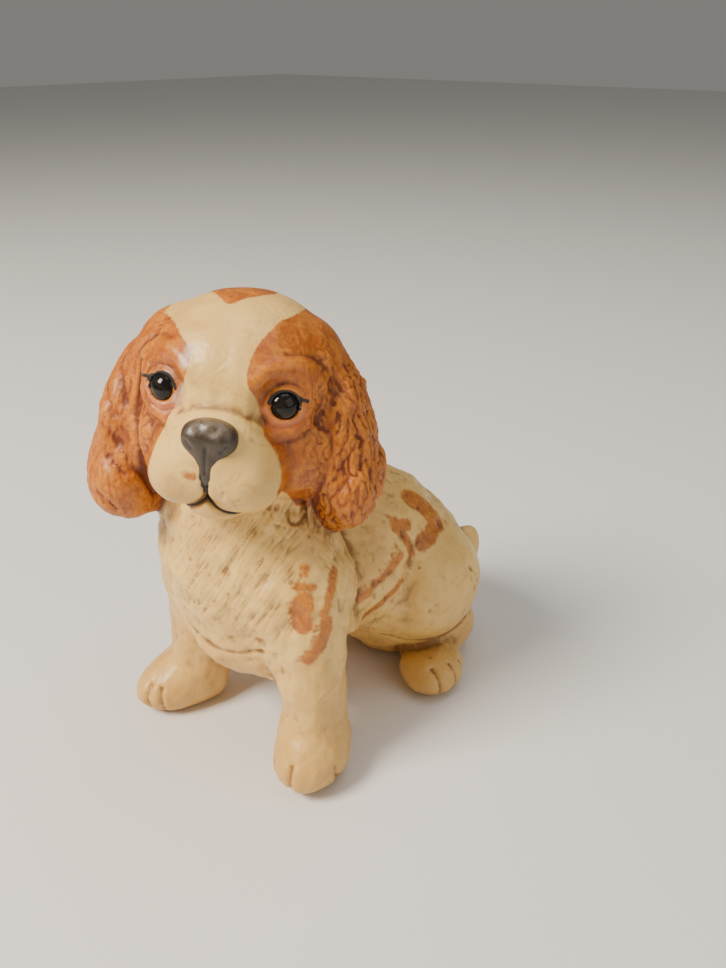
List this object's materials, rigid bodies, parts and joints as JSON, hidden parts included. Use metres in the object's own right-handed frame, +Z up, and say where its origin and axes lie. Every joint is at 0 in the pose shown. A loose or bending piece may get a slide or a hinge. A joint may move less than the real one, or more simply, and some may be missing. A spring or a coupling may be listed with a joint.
{
  "type": "ceramic dog figurine",
  "caption": "Sitting spaniel puppy figurine, hollow slip-cast ceramic with luted ears, legs and tail, its head turned aside, standing on flat soles.",
  "frame": {"origin": "on the resting plane, under the middle of the figurine's bounding box", "axes": "+Z up, the dog faces -Y and its left side is +X; its head is turned 34 degrees to its left"},
  "size_m": [0.0722, 0.1066, 0.1222],
  "materials": {
    "body_glaze": "satin cream glaze with brown antique wash in the grooves and painted tan patches",
    "head_glaze": "satin cream glaze with painted tan patches round the eyes",
    "ear_glaze": "satin tan underglaze paint with dark wash in the fur lines",
    "nose_black": "worn semi-gloss black brown",
    "eye_black": "high-gloss black glaze"
  },
  "bodies": {
    "root": {"torso_shell": "body_glaze", "head_shell": "head_glaze", "nose_pad": "nose_black", "left_eye": "eye_black", "right_eye": "eye_black", "left_ear": "ear_glaze", "right_ear": "ear_glaze", "left_foreleg": "body_glaze", "right_foreleg": "body_glaze", "left_hind_leg": "body_glaze", "right_hind_leg": "body_glaze", "tail": "body_glaze"}
  },
  "joints": []
}
